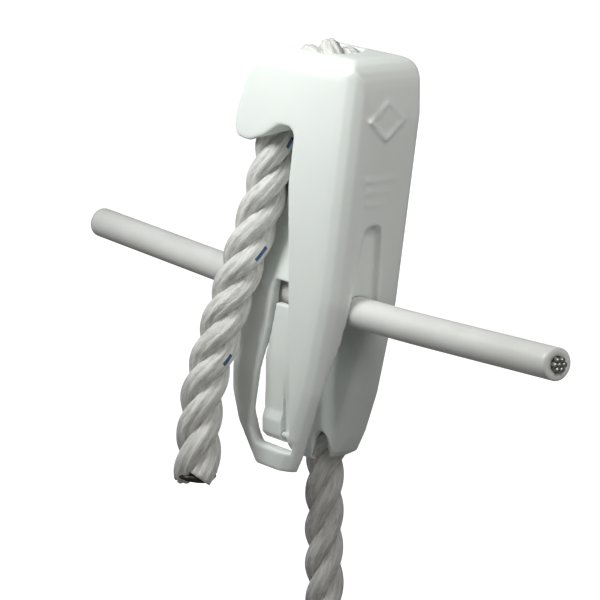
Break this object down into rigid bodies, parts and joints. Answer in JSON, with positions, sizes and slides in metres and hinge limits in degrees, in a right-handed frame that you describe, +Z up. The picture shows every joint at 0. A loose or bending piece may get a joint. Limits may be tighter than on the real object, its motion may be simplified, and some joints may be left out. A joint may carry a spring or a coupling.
{
  "type": "rope hanger clip on a guard wire",
  "caption": "Moulded clip that snaps onto a coated guard wire and holds a laid rope over a saddle and under a hook; a latch finger closes its slot, and the load run ends in a thimble eye.",
  "frame": {"origin": "on the guard wire's axis, in the clip's seat", "axes": "+X along the wire towards the clip's outer face, +Y from the hook's open side to the far side, +Z up"},
  "size_m": [0.2122, 0.0456, 0.2089],
  "materials": {
    "clip_plastic": "satin moulded, white",
    "wire_coating": "satin extruded, white",
    "wire_steel": "drawn",
    "rope_fibre": "laid white fibre",
    "rope_melt": "fused and darkened",
    "thimble_plastic": "moulded",
    "whipping_twine": "waxed twine"
  },
  "bodies": {
    "wire": {"wire_jacket": "wire_coating", "wire_core": "wire_steel"},
    "clip": {"clip_body": "clip_plastic", "latch_neck": "clip_plastic", "rope_captive_run": "rope_fibre", "rope_tail": "rope_fibre", "rope_tail_melt": "rope_melt"},
    "latch": {"latch_finger": "clip_plastic"},
    "load_rope": {"rope_load_run": "rope_fibre", "rope_eye": "rope_fibre", "eye_thimble": "thimble_plastic", "splice_tail": "rope_fibre", "splice_whipping": "whipping_twine"}
  },
  "joints": [
    {"name": "clip_tilt", "type": "hinge", "parent": "wire", "child": "clip", "pos_m": [0, 0, 0], "axis": [1, 0, 0], "range_deg": [-30, 30]},
    {"name": "latch_flex", "type": "hinge", "parent": "clip", "child": "latch", "pos_m": [-0.0228, -0.0079, -0.0348], "axis": [1, 0, 0], "range_deg": [0, 12], "stiffness_Nm_per_rad": 0.08},
    {"name": "load_swing", "type": "hinge", "parent": "clip", "child": "load_rope", "pos_m": [-0.023, 0.0065, -0.05], "axis": [1, 0, 0], "range_deg": [-25, 25]}
  ]
}
